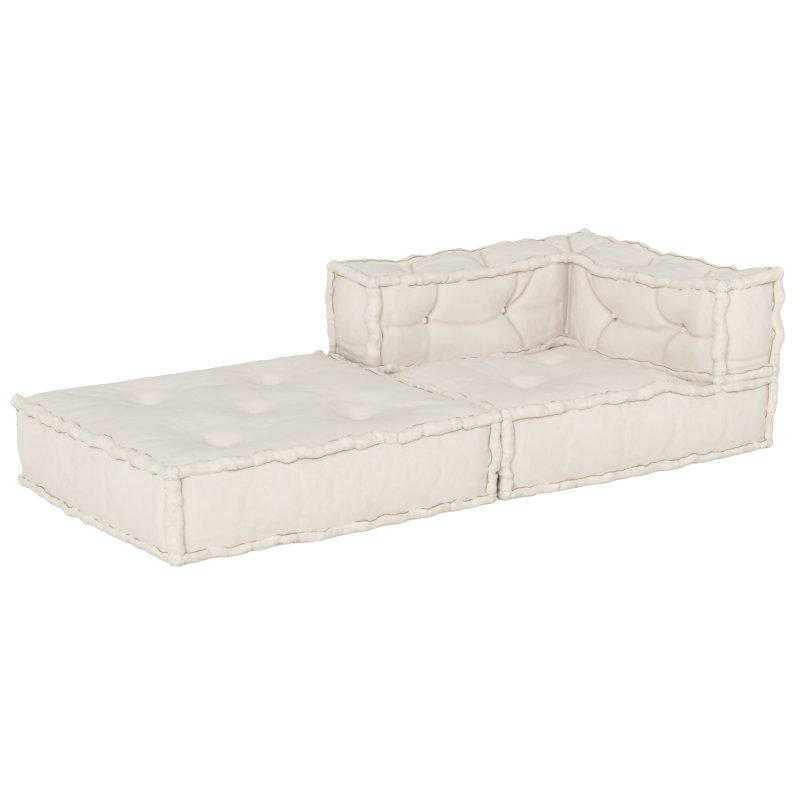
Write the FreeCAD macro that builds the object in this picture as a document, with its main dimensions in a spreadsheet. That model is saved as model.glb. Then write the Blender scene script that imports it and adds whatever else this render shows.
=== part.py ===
import FreeCAD, Part
import os
import Sketcher

# Modular floor sofa: two tufted seat cushions and a loose L-shaped corner back cushion.
# X runs along the front, Y towards the back, Z up. The floor is at Z = 0.

doc = FreeCAD.newDocument("modular_sofa")
sheet = doc.addObject("Spreadsheet::Sheet", "Sizes")

# Driving dimensions, in millimetres
driving_sizes = [
    ("seat_length", 930, "seat cushion along the front, over the rolls"),
    ("seat_depth", 840, "seat cushion front to back, over the rolls"),
    ("seat_height", 234, "floor to the top of the upper rolls"),
    ("module_gap", 0.4, "gap between the two seat cushions"),
    ("roll_diameter", 30, "stitched roll along every edge, also the thickness of the side stuffing"),
    ("pinch_pitch", 78, "spacing of the stitched pinches along a roll"),
    ("pinch_depth", 2.5, "how far a stitch draws the roll in"),
    ("side_bulge", 11, "outward bulge of a side panel at its middle"),
    ("side_relief", 2, "how far a bulge stays inside the outer line of the rolls"),
    ("base_pad", 20, "thickness of the base panel"),
    ("top_pad", 54, "thickness of the top panel, from the core to the top of the rolls"),
    ("seat_crown", 27, "rise of the seat's middle over its border"),
    ("seat_shoulder", 120, "width of the rounded shoulder round the seat's top"),
    ("seat_tuft_clear", 40, "room between the front tufts and the corner back's arm"),
    ("seat_tuft_tuck", 25, "how far the rear tufts lie behind the corner back's inner line"),
    ("tuft_spread", 105, "radius of the dimple round a seat tuft"),
    ("tuft_depth", 26, "depth of a seat tuft"),
    ("knot_diameter", 18, "knot at each end of a tuft"),
    ("twine_diameter", 3, "tuft twine"),
    ("twine_clearance", 0.3, "room round a twine in its hole"),
    ("back_height", 275, "corner back, over the rolls"),
    ("back_thickness", 225, "corner back front to rear, over the rolls"),
    ("back_inset", 20, "step from the corner seat's left side to the left end of the back"),
    ("back_sink", 34, "how far the corner back presses the seat down"),
    ("rest_gap", 0.3, "clearance between the corner back and the seat"),
    ("dip_length", 180, "length over which the seat's rolls dip down to pass under the back"),
    ("back_top_pad", 46, "thickness of the corner back's top panel"),
    ("back_crown", 21, "rise of the corner back's top over its border"),
    ("face_tuft_pitch", 270, "spacing of the tufts along the corner back"),
    ("face_tuft_spread", 72, "radius of the dimple round a tuft of the corner back"),
    ("face_tuft_depth", 15, "depth of a tuft of the corner back"),
    ("twine_stagger", 16, "side step of the upright twines past the level ones"),
]
for row, (alias, number, note) in enumerate(driving_sizes, start=1):
    sheet.set("A%d" % row, note)
    sheet.set("B%d" % row, str(number))
    sheet.setAlias("B%d" % row, alias)
doc.recompute()


# A length that knows both its sheet formula and its present value
class Size:
    def __init__(self, formula, value):
        self.formula = formula
        self.value = value

    def __add__(self, other):
        other = as_size(other)
        return Size("(%s + %s)" % (self.formula, other.formula), self.value + other.value)

    def __sub__(self, other):
        other = as_size(other)
        return Size("(%s - %s)" % (self.formula, other.formula), self.value - other.value)

    def __mul__(self, other):
        other = as_size(other)
        return Size("(%s * %s)" % (self.formula, other.formula), self.value * other.value)

    def __truediv__(self, other):
        other = as_size(other)
        return Size("(%s / %s)" % (self.formula, other.formula), self.value / other.value)

    def __neg__(self):
        return Size("(0 - %s)" % self.formula, -self.value)


def as_size(number):
    return number if isinstance(number, Size) else Size(repr(number), number)


def driving(alias):
    return Size("Sizes." + alias, float(sheet.get(alias)))


seat_length = driving("seat_length")
seat_depth = driving("seat_depth")
seat_height = driving("seat_height")
module_gap = driving("module_gap")
roll_diameter = driving("roll_diameter")
pinch_pitch = driving("pinch_pitch")
pinch_depth = driving("pinch_depth")
side_bulge = driving("side_bulge")
side_relief = driving("side_relief")
base_pad = driving("base_pad")
top_pad = driving("top_pad")
seat_crown = driving("seat_crown")
seat_shoulder = driving("seat_shoulder")
seat_tuft_clear = driving("seat_tuft_clear")
seat_tuft_tuck = driving("seat_tuft_tuck")
tuft_spread = driving("tuft_spread")
tuft_depth = driving("tuft_depth")
knot_diameter = driving("knot_diameter")
twine_diameter = driving("twine_diameter")
twine_clearance = driving("twine_clearance")
back_height = driving("back_height")
back_thickness = driving("back_thickness")
back_inset = driving("back_inset")
back_sink = driving("back_sink")
rest_gap = driving("rest_gap")
dip_length = driving("dip_length")
back_top_pad = driving("back_top_pad")
back_crown = driving("back_crown")
face_tuft_pitch = driving("face_tuft_pitch")
face_tuft_spread = driving("face_tuft_spread")
face_tuft_depth = driving("face_tuft_depth")
twine_stagger = driving("twine_stagger")

# Sizes that several pieces share
zero = as_size(0)
roll_radius = roll_diameter / 2
side_border = roll_diameter - side_bulge - side_relief
knot_radius = knot_diameter / 2
hole_radius = twine_diameter / 2 + twine_clearance
knot_margin = twine_diameter
recess_depth = knot_radius + knot_margin
dip_radius = (dip_length * dip_length + back_sink * back_sink) / (back_sink * 4)

# Turns that point a panel's outside to a side of the cushion
upright = FreeCAD.Rotation(FreeCAD.Vector(1, 0, 0), 90)
about_z = FreeCAD.Vector(0, 0, 1)
to_front = upright
to_right = FreeCAD.Rotation(about_z, 90).multiply(upright)
to_back = FreeCAD.Rotation(about_z, 180).multiply(upright)
to_left = FreeCAD.Rotation(about_z, 270).multiply(upright)
level = FreeCAD.Rotation()
along_x = FreeCAD.Rotation()
along_y = FreeCAD.Rotation(about_z, 90)
along_z = FreeCAD.Rotation(FreeCAD.Vector(0, 1, 0), -90)
to_rear = FreeCAD.Rotation(FreeCAD.Vector(1, 0, 0), -90)
to_east = FreeCAD.Rotation(FreeCAD.Vector(0, 1, 0), 90)

nodes = []


def keep(piece, label):
    piece.Label = label
    nodes.append(piece)
    return piece


def place(piece, x, y, z, turn=level):
    piece.Placement = FreeCAD.Placement(FreeCAD.Vector(0, 0, 0), turn)
    for axis, size in (("x", x), ("y", y), ("z", z)):
        piece.setExpression(".Placement.Base." + axis, as_size(size).formula)
    return piece


def new_body(name):
    return doc.addObject("PartDesign::Body", name)


def new_sketch(body, role, x=zero, y=zero, z=zero):
    sketch = body.newObject("Sketcher::SketchObject", body.Name + "_sketch")
    plane = [feature for feature in body.Origin.OriginFeatures if feature.Role == role][0]
    sketch.AttachmentSupport = [(plane, "")]
    sketch.MapMode = "FlatFace"
    for axis, size in (("x", x), ("y", y), ("z", z)):
        sketch.setExpression(".AttachmentOffset.Base." + axis, size.formula)
    return sketch


def tie(sketch, kind, *where):
    index = sketch.addConstraint(Sketcher.Constraint(kind, *where[:-1], where[-1].value))
    sketch.setExpression("Constraints[%d]" % index, where[-1].formula)


def point(x, y):
    return FreeCAD.Vector(x.value, y.value, 0)


def line(sketch, start, end):
    return sketch.addGeometry(Part.LineSegment(start, end), False)


# An arc from start to end that bulges to the left of that direction by the given sagitta
def arc(sketch, start, end, sagitta):
    chord = end - start
    middle = start + chord * 0.5
    outward = FreeCAD.Vector(chord.y, -chord.x, 0).normalize()
    return sketch.addGeometry(Part.Arc(start, middle + outward * sagitta, end), False)


def join(sketch, *ends):
    for (first, first_end), (second, second_end) in ends:
        sketch.addConstraint(Sketcher.Constraint("Coincident", first, first_end, second, second_end))


# Cross-section of a stuffed panel: a flat back, short sides and a crowned outside
def crowned_section(sketch, width, border, rise):
    half = width / 2
    left_foot, right_foot = point(-half, zero), point(half, zero)
    left_top, right_top = point(-half, border), point(half, border)
    foot = line(sketch, left_foot, right_foot)
    right = line(sketch, right_foot, right_top)
    crown = arc(sketch, right_top, left_top, rise.value)
    left = line(sketch, left_top, left_foot)
    join(sketch, ((foot, 2), (right, 1)), ((right, 2), (crown, 1)))
    join(sketch, ((crown, 2), (left, 1)), ((left, 2), (foot, 1)))
    sketch.addConstraint(Sketcher.Constraint("Symmetric", foot, 1, foot, 2, -1, 1))
    sketch.addConstraint(Sketcher.Constraint("Horizontal", foot))
    sketch.addConstraint(Sketcher.Constraint("Vertical", right))
    sketch.addConstraint(Sketcher.Constraint("Vertical", left))
    sketch.addConstraint(Sketcher.Constraint("Equal", left, right))
    tie(sketch, "DistanceX", foot, 1, foot, 2, width)
    tie(sketch, "DistanceY", right, 1, right, 2, border)
    tie(sketch, "Radius", crown, (half * half + rise * rise) / (rise * 2))


# Cross-section of a seat's top: rounded shoulders and a level middle
def shouldered_section(sketch, width, border, rise):
    half, flat = width / 2, width / 2 - seat_shoulder
    left_foot, right_foot = point(-half, zero), point(half, zero)
    left_top, right_top = point(-half, border), point(half, border)
    left_flat, right_flat = point(-flat, border + rise), point(flat, border + rise)
    radius = (seat_shoulder * seat_shoulder + rise * rise) / (rise * 2)
    sagitta = radius.value - (radius.value ** 2 - (right_flat - right_top).Length ** 2 / 4) ** 0.5
    foot = line(sketch, left_foot, right_foot)
    right = line(sketch, right_foot, right_top)
    right_shoulder = arc(sketch, right_top, right_flat, sagitta)
    middle = line(sketch, right_flat, left_flat)
    left_shoulder = arc(sketch, left_flat, left_top, sagitta)
    left = line(sketch, left_top, left_foot)
    join(sketch, ((foot, 2), (right, 1)), ((right, 2), (right_shoulder, 1)))
    join(sketch, ((right_shoulder, 2), (middle, 1)), ((middle, 2), (left_shoulder, 1)))
    join(sketch, ((left_shoulder, 2), (left, 1)), ((left, 2), (foot, 1)))
    sketch.addConstraint(Sketcher.Constraint("Symmetric", foot, 1, foot, 2, -1, 1))
    sketch.addConstraint(Sketcher.Constraint("Symmetric", middle, 1, middle, 2, -2))
    sketch.addConstraint(Sketcher.Constraint("Horizontal", foot))
    sketch.addConstraint(Sketcher.Constraint("Vertical", right))
    sketch.addConstraint(Sketcher.Constraint("Vertical", left))
    sketch.addConstraint(Sketcher.Constraint("Equal", left, right))
    tie(sketch, "DistanceX", foot, 1, foot, 2, width)
    tie(sketch, "DistanceY", right, 1, right, 2, border)
    tie(sketch, "DistanceX", middle, 2, middle, 1, flat * 2)
    tie(sketch, "DistanceY", -1, 1, middle, 1, border + rise)
    tie(sketch, "Radius", right_shoulder, radius)
    tie(sketch, "Radius", left_shoulder, radius)


# Cross-section of a tufted panel: two puffs with a stitched crease between them
def creased_section(sketch, width, border, crease, puff):
    half = width / 2
    left_foot, right_foot = point(-half, zero), point(half, zero)
    left_top, right_top = point(-half, border), point(half, border)
    middle = point(zero, crease)
    foot = line(sketch, left_foot, right_foot)
    right = line(sketch, right_foot, right_top)
    right_puff = arc(sketch, right_top, middle, puff.value)
    left_puff = arc(sketch, middle, left_top, puff.value)
    left = line(sketch, left_top, left_foot)
    join(sketch, ((foot, 2), (right, 1)), ((right, 2), (right_puff, 1)))
    join(sketch, ((right_puff, 2), (left_puff, 1)), ((left_puff, 2), (left, 1)), ((left, 2), (foot, 1)))
    sketch.addConstraint(Sketcher.Constraint("Symmetric", foot, 1, foot, 2, -1, 1))
    sketch.addConstraint(Sketcher.Constraint("Horizontal", foot))
    sketch.addConstraint(Sketcher.Constraint("Vertical", right))
    sketch.addConstraint(Sketcher.Constraint("Vertical", left))
    sketch.addConstraint(Sketcher.Constraint("Equal", left, right))
    sketch.addConstraint(Sketcher.Constraint("PointOnObject", right_puff, 2, -2))
    tie(sketch, "DistanceX", foot, 1, foot, 2, width)
    tie(sketch, "DistanceY", right, 1, right, 2, border)
    tie(sketch, "DistanceY", -1, 1, right_puff, 2, crease)
    drop = crease - border
    chord_squared = half * half + drop * drop
    puff_radius = (chord_squared / 4 + puff * puff) / (puff * 2)
    tie(sketch, "Radius", right_puff, puff_radius)
    tie(sketch, "Radius", left_puff, puff_radius)


def loft(body, sections):
    feature = body.newObject("PartDesign::AdditiveLoft", body.Name + "_loft")
    feature.Profile = sections[0]
    feature.Sections = sections[1:]
    body.Tip = feature


# Dimple of one tuft with a flat seat for its knot and a hole for its twine.
# The rim is the height of the surface round the tuft over the panel's back.
def tuft(body, x, y, rim, spread, depth):
    sketch = new_sketch(body, "XZ_Plane", x, rim, -y)
    seat = knot_radius + twine_clearance
    above, through = depth, rim + knot_margin
    corners = [
        point(zero, above), point(zero, -through), point(hole_radius, -through),
        point(hole_radius, -depth), point(seat, -depth), point(spread, zero), point(spread, above),
    ]
    axis = line(sketch, corners[0], corners[1])
    bottom = line(sketch, corners[1], corners[2])
    hole = line(sketch, corners[2], corners[3])
    ledge = line(sketch, corners[3], corners[4])
    rise = (spread - seat) * (spread - seat) + depth * depth
    radius = rise / (depth * 2)
    centre = FreeCAD.Vector(spread.value, -radius.value, 0)
    toward = ((corners[4] + corners[5]) * 0.5 - centre).normalize()
    slope = sketch.addGeometry(Part.Arc(corners[5], centre + toward * radius.value, corners[4]), False)
    wall = line(sketch, corners[5], corners[6])
    lid = line(sketch, corners[6], corners[0])
    join(sketch, ((axis, 2), (bottom, 1)), ((bottom, 2), (hole, 1)), ((hole, 2), (ledge, 1)))
    join(sketch, ((ledge, 2), (slope, 2)), ((slope, 1), (wall, 1)), ((wall, 2), (lid, 1)))
    join(sketch, ((lid, 2), (axis, 1)))
    for upright_line in (axis, hole, wall):
        sketch.addConstraint(Sketcher.Constraint("Vertical", upright_line))
    for level_line in (bottom, ledge, lid):
        sketch.addConstraint(Sketcher.Constraint("Horizontal", level_line))
    sketch.addConstraint(Sketcher.Constraint("PointOnObject", axis, 1, -2))
    tie(sketch, "DistanceY", -1, 1, axis, 1, above)
    tie(sketch, "DistanceY", axis, 2, -1, 1, through)
    tie(sketch, "DistanceY", hole, 2, -1, 1, depth)
    tie(sketch, "DistanceX", -1, 1, hole, 2, hole_radius)
    tie(sketch, "DistanceX", -1, 1, ledge, 2, seat)
    tie(sketch, "DistanceX", -1, 1, wall, 1, spread)
    sketch.addConstraint(Sketcher.Constraint("PointOnObject", slope, 1, -1))
    tie(sketch, "Radius", slope, radius)
    groove = body.newObject("PartDesign::Groove", body.Name + "_tuft")
    groove.Profile = sketch
    groove.ReferenceAxis = (sketch, ["V_Axis"])
    groove.Angle = 360
    body.Tip = groove


# Stations along a crowned panel, as shares of its length and of its crown
crown_stations = [(0.0, 0.06), (0.14, 0.78), (0.5, 1.0), (0.86, 0.78), (1.0, 0.06)]


# Stuffed panel, crowned both ways, with its back at local Z = 0
def crowned_panel(name, length, width, border, crown):
    body = new_body(name)
    sections = []
    for along, share in crown_stations:
        section = new_sketch(body, "YZ_Plane", z=length * (along - 0.5))
        crowned_section(section, width, border, crown * share)
        sections.append(section)
    loft(body, sections)
    return body


# Stations across the shoulder of a seat's top, as shares of its width and of the crown
shoulder_stations = [(0.0, 0.06), (0.35, 0.58), (1.0, 0.98)]


# Top of a seat: level between its shoulders, with its tufts
def seat_top(name, length, width, border, tufts):
    body = new_body(name)
    half = length / 2
    near = [(-half + seat_shoulder * step, share) for step, share in shoulder_stations]
    far = [(half - seat_shoulder * step, share) for step, share in reversed(shoulder_stations)]
    sections = []
    for along, share in near + [(zero, 1.0)] + far:
        section = new_sketch(body, "YZ_Plane", z=along)
        shouldered_section(section, width, border, seat_crown * share)
        sections.append(section)
    loft(body, sections)
    for where in tufts:
        tuft(body, *where)
    return body


# How far the crease sinks and the puffs swell at a panel's ends, puffs and tufts, as shares of the crown
end_form, puff_form, tuft_form = (0.05, 0.05), (0.62, 0.36), (-0.05, 0.28)
corner_form = (0.10, 0.16)


# Tufted panel with creases across it at the valleys, and tufts in some of them
def creased_panel(name, length, width, border, crown, valleys, tufted, corner_span=None):
    body = new_body(name)
    ends = [-(length / 2)] + valleys + [length / 2]
    stations = [(ends[0], end_form)]
    for span, (start, end) in enumerate(zip(ends, ends[1:])):
        stations.append(((start + end) / 2, corner_form if span == corner_span else puff_form))
        stations.append((end, tuft_form))
    stations[-1] = (ends[-1], end_form)
    sections = []
    for along, (crease_share, puff_share) in stations:
        section = new_sketch(body, "YZ_Plane", z=along)
        creased_section(section, width, border, border + crown * crease_share, crown * puff_share)
        sections.append(section)
    loft(body, sections)
    for along in tufted:
        tuft(body, along, zero, border + crown, face_tuft_spread, crown + face_tuft_depth)
    return body


# Straight stitched roll along local X from the origin: equal lumps between the pinches
def roll(name, length):
    body = new_body(name)
    count = Size("max(2; round(%s / %s))" % (length.formula, pinch_pitch.formula),
                 max(2, round(length.value / pinch_pitch.value)))
    lump = length / count
    waist = roll_radius - pinch_depth
    sketch = new_sketch(body, "XZ_Plane")
    corners = [point(zero, zero), point(lump, zero), point(lump, waist), point(zero, waist)]
    axis = line(sketch, corners[0], corners[1])
    end = line(sketch, corners[1], corners[2])
    swell = arc(sketch, corners[2], corners[3], pinch_depth.value)
    start = line(sketch, corners[3], corners[0])
    join(sketch, ((axis, 2), (end, 1)), ((end, 2), (swell, 1)), ((swell, 2), (start, 1)))
    join(sketch, ((start, 2), (axis, 1)), ((axis, 1), (-1, 1)))
    sketch.addConstraint(Sketcher.Constraint("Horizontal", axis))
    sketch.addConstraint(Sketcher.Constraint("Vertical", end))
    sketch.addConstraint(Sketcher.Constraint("Vertical", start))
    sketch.addConstraint(Sketcher.Constraint("Equal", start, end))
    tie(sketch, "DistanceX", axis, 1, axis, 2, lump)
    tie(sketch, "DistanceY", end, 1, end, 2, waist)
    tie(sketch, "Radius", swell, (lump * lump / 4 + pinch_depth * pinch_depth) / (pinch_depth * 2))
    revolution = body.newObject("PartDesign::Revolution", name + "_lump")
    revolution.Profile = sketch
    revolution.ReferenceAxis = (sketch, ["H_Axis"])
    revolution.Angle = 360
    body.Tip = revolution
    doc.recompute()
    pattern = body.newObject("PartDesign::LinearPattern", name + "_lumps")
    pattern.Originals = [revolution]
    pattern.Direction = (sketch, ["H_Axis"])
    pattern.setExpression("Length", (length - lump).formula)
    pattern.setExpression("Occurrences", count.formula)
    body.Tip = pattern
    return body


# Line of a roll that dips under the corner back: two equal arcs, then a level run.
# It starts at the sketch's origin; the arcs' radii differ where the line is offset.
def dip_line(sketch, first_radius, second_radius, low_run):
    middle_x = dip_length * first_radius / (first_radius + second_radius)
    middle_y = -(back_sink * first_radius / (first_radius + second_radius))
    origin, middle = point(zero, zero), point(middle_x, middle_y)
    low, far = point(dip_length, -back_sink), point(dip_length + low_run, -back_sink)
    half_turn = (dip_length.value ** 2 + back_sink.value ** 2) ** 0.5
    tilt = back_sink.value / half_turn
    first_sagitta = first_radius.value * (1 - (1 - tilt ** 2) ** 0.5)
    second_sagitta = second_radius.value * (1 - (1 - tilt ** 2) ** 0.5)
    first = arc(sketch, middle, origin, first_sagitta)
    second = arc(sketch, middle, low, second_sagitta)
    run = line(sketch, low, far)
    join(sketch, ((first, 2), (-1, 1)), ((second, 2), (run, 1)))
    sketch.addConstraint(Sketcher.Constraint("Tangent", first, 1, second, 1))
    sketch.addConstraint(Sketcher.Constraint("Horizontal", run))
    tie(sketch, "DistanceX", -1, 1, run, 1, dip_length)
    tie(sketch, "DistanceY", run, 1, -1, 1, back_sink)
    tie(sketch, "DistanceX", run, 1, run, 2, low_run)
    tie(sketch, "Radius", first, first_radius)
    tie(sketch, "Radius", second, second_radius)
    return first, run


# Stitched roll that runs level for the high run, then dips under the corner back
def dipped_roll(name, high_run, low_run):
    body = roll(name, high_run)
    path = new_sketch(body, "XZ_Plane", x=high_run)
    dip_line(path, dip_radius, dip_radius, low_run)
    ring = new_sketch(body, "YZ_Plane", z=high_run)
    circle = ring.addGeometry(Part.Circle(point(zero, zero), FreeCAD.Vector(0, 0, 1), roll_radius.value), False)
    ring.addConstraint(Sketcher.Constraint("Coincident", circle, 3, -1, 1))
    tie(ring, "Radius", circle, roll_radius)
    doc.recompute()
    pipe = body.newObject("PartDesign::AdditivePipe", name + "_dip")
    pipe.Profile = ring
    pipe.Spine = path
    body.Tip = pipe
    return body


# Room over a side panel that lies under a dipped roll, from the start of the dip
def dip_room(name, low_run, thickness):
    body = new_body(name)
    sketch = new_sketch(body, "XZ_Plane")
    first, run = dip_line(sketch, dip_radius - roll_radius, dip_radius + roll_radius, low_run)
    far = sketch.getPoint(run, 2)
    end = line(sketch, far, FreeCAD.Vector(far.x, 0, 0))
    lid = line(sketch, FreeCAD.Vector(far.x, 0, 0), FreeCAD.Vector(0, 0, 0))
    join(sketch, ((run, 2), (end, 1)), ((end, 2), (lid, 1)), ((lid, 2), (first, 2)))
    sketch.addConstraint(Sketcher.Constraint("Vertical", end))
    sketch.addConstraint(Sketcher.Constraint("Horizontal", lid))
    pad = body.newObject("PartDesign::Pad", name + "_pad")
    pad.Profile = sketch
    pad.setExpression("Length", thickness.formula)
    pad.Midplane = True
    body.Tip = pad
    return body


def box(name, length, width, height):
    block = doc.addObject("Part::Box", name)
    block.setExpression("Length", length.formula)
    block.setExpression("Width", width.formula)
    block.setExpression("Height", height.formula)
    return block


def cylinder(name, radius, height):
    rod = doc.addObject("Part::Cylinder", name)
    rod.setExpression("Radius", radius.formula)
    rod.setExpression("Height", height.formula)
    return rod


def cut(name, base, tools):
    group = doc.addObject("Part::Compound", name + "_tools")
    group.Links = tools
    result = doc.addObject("Part::Cut", name)
    result.Base = base
    result.Tool = group
    return result


def gather(label, pieces):
    group = doc.addObject("Part::Compound", label)
    group.Links = pieces
    return keep(group, label)


# Knot at one end of a twine: a half ball with its flat side on the stuffing
def knot(name, x, y, z, turn):
    ball = doc.addObject("Part::Sphere", name)
    ball.setExpression("Radius", knot_radius.formula)
    ball.Angle1 = 0
    return place(ball, x, y, z, turn)


downward = FreeCAD.Rotation(FreeCAD.Vector(1, 0, 0), 180)


# Recess in a base panel for a knot and its twine, with its wide mouth on the underside
def base_recess(name, x, y, z):
    mouth = doc.addObject("Part::Cone", name + "_mouth")
    mouth.setExpression("Radius1", (knot_diameter * 2).formula)
    mouth.setExpression("Radius2", (knot_radius + twine_clearance).formula)
    mouth.setExpression("Height", recess_depth.formula)
    place(mouth, x, y, z)
    hole = place(cylinder(name + "_hole", hole_radius, base_pad), x, y, z)
    return [mouth, hole]


# Block of stuffing or base panel, given by its lowest corner and its size, with its cut-outs
def block(label, corner, size, tools):
    solid = place(box(label + "_block", *size), *corner)
    return keep(cut(label, solid, tools), label)


# One seat cushion; the corner seat's top, sides and rolls are lower under the corner back
def seat(prefix, centre, under_back):
    left, right = centre - seat_length / 2, centre + seat_length / 2
    front, rear = -(seat_depth / 2), seat_depth / 2
    inner_length = seat_length - roll_diameter * 2
    inner_depth = seat_depth - roll_diameter * 2
    core_top = seat_height - top_pad
    top_border = top_pad - roll_radius
    sunk = back_sink if under_back else zero

    # Tufts: four in a rectangle and one in the middle, as local place, rim, spread and depth
    along = seat_length / 2 - back_thickness - seat_tuft_clear
    across = seat_depth / 2 - back_thickness + seat_tuft_tuck
    free = (top_border + seat_crown, tuft_spread, tuft_depth)
    pressed = (top_pad - back_sink, knot_diameter, recess_depth)
    front_tufts = [(side, -across) + free for side in (-along, along)]
    middle_tuft = (zero, zero) + free
    back_tufts = [(side, across) + (pressed if under_back else free) for side in (-along, along)]
    tufts = front_tufts + [middle_tuft] + back_tufts

    holes, recesses, knots, twines = [], [], [], []
    for index, (x, y, rim, spread, depth) in enumerate(tufts):
        name = "%s_tuft_%d" % (prefix, index)
        tuft_x = centre + x
        seat_level = core_top + rim - depth
        holes.append(place(cylinder(name + "_core_hole", hole_radius, core_top), tuft_x, y, zero))
        recesses += base_recess(name, tuft_x, y, zero)
        knots.append(knot(name + "_knot", tuft_x, y, seat_level, level))
        knots.append(knot(name + "_base_knot", tuft_x, y, recess_depth, downward))
        twine = cylinder(name + "_twine", twine_diameter / 2, seat_level - recess_depth)
        twines.append(place(twine, tuft_x, y, recess_depth))

    corner = (left + roll_diameter, front + roll_diameter)
    block(prefix + "_core", corner + (base_pad,), (inner_length, inner_depth, core_top - base_pad), holes)
    block(prefix + "_base_panel", corner + (zero,), (inner_length, inner_depth, base_pad), recesses)
    gather(prefix + "_tuft_knots", knots)
    gather(prefix + "_tuft_twines", twines)

    # Top panel, with a bed for the corner back pressed into the corner seat's
    label = prefix + "_top_panel"
    top = place(seat_top(label, inner_length, inner_depth, top_border, tufts), centre, zero, core_top)
    if under_back:
        top.Label = label + "_body"
        bed = back_thickness + rest_gap
        depth = top_pad + seat_crown
        bed_level = seat_height - back_sink
        back_bed = place(box(label + "_back_bed", seat_length, bed, depth), left, rear - bed, bed_level)
        arm_bed = place(box(label + "_arm_bed", bed, seat_depth, depth), right - bed, front, bed_level)
        top = cut(label + "_bedded", top, [back_bed, arm_bed])
    keep(top, label)

    # Side panels stand between the rolls
    full = seat_height - roll_diameter * 2
    low = full - sunk
    sides = [
        ("front", inner_length, full, centre, front + roll_diameter, to_front),
        ("back", inner_length, low, centre, rear - roll_diameter, to_back),
        ("left", inner_depth, full, left + roll_diameter, zero, to_left),
        ("right", inner_depth, low, right - roll_diameter, zero, to_right),
    ]
    low_run = back_thickness + rest_gap
    front_high = seat_length - low_run - dip_length
    left_high = seat_depth - low_run - dip_length
    for side, length, height, x, y, turn in sides:
        label = "%s_%s_panel" % (prefix, side)
        panel = place(crowned_panel(label, length, height, side_border, side_bulge),
                      x, y, roll_diameter + height / 2, turn)
        if under_back and side in ("front", "left"):
            panel.Label = label + "_body"
            room = dip_room(label + "_room", low_run, roll_diameter * 2)
            top_line = roll_diameter + height
            if side == "front":
                place(room, left + front_high, y, top_line)
            else:
                place(room, x, front + left_high, top_line, along_y)
            panel = cut(label + "_dipped", panel, [room])
        keep(panel, label)

    # Rolls: the front and back ones run full length, the others fit between them
    for level_name, height, lowered in (
        ("base", roll_radius, False),
        ("top", seat_height - roll_radius, under_back),
    ):
        label = "%s_%s_rolls" % (prefix, level_name)
        low_height = height - sunk if lowered else height
        start = front + roll_diameter
        if lowered:
            front_roll = dipped_roll(label + "_front", front_high, low_run)
            left_roll = dipped_roll(label + "_left", left_high - roll_diameter, low_run - roll_diameter)
        else:
            front_roll = roll(label + "_front", seat_length)
            left_roll = roll(label + "_left", inner_depth)
        back_roll = roll(label + "_back", seat_length)
        right_roll = roll(label + "_right", inner_depth)
        place(front_roll, left, front + roll_radius, height, along_x)
        place(back_roll, left, rear - roll_radius, low_height, along_x)
        place(left_roll, left + roll_radius, start, height, along_y)
        place(right_roll, right - roll_radius, start, low_height, along_y)
        gather(label, [front_roll, back_roll, left_roll, right_roll])

    corners = [
        ("front_left", left + roll_radius, front + roll_radius, full),
        ("front_right", right - roll_radius, front + roll_radius, low),
        ("back_left", left + roll_radius, rear - roll_radius, low),
        ("back_right", right - roll_radius, rear - roll_radius, low),
    ]
    label = prefix + "_corner_rolls"
    rolls = [place(roll("%s_%s" % (label, name), height), x, y, roll_diameter, along_z)
             for name, x, y, height in corners]
    gather(label, rolls)


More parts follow.
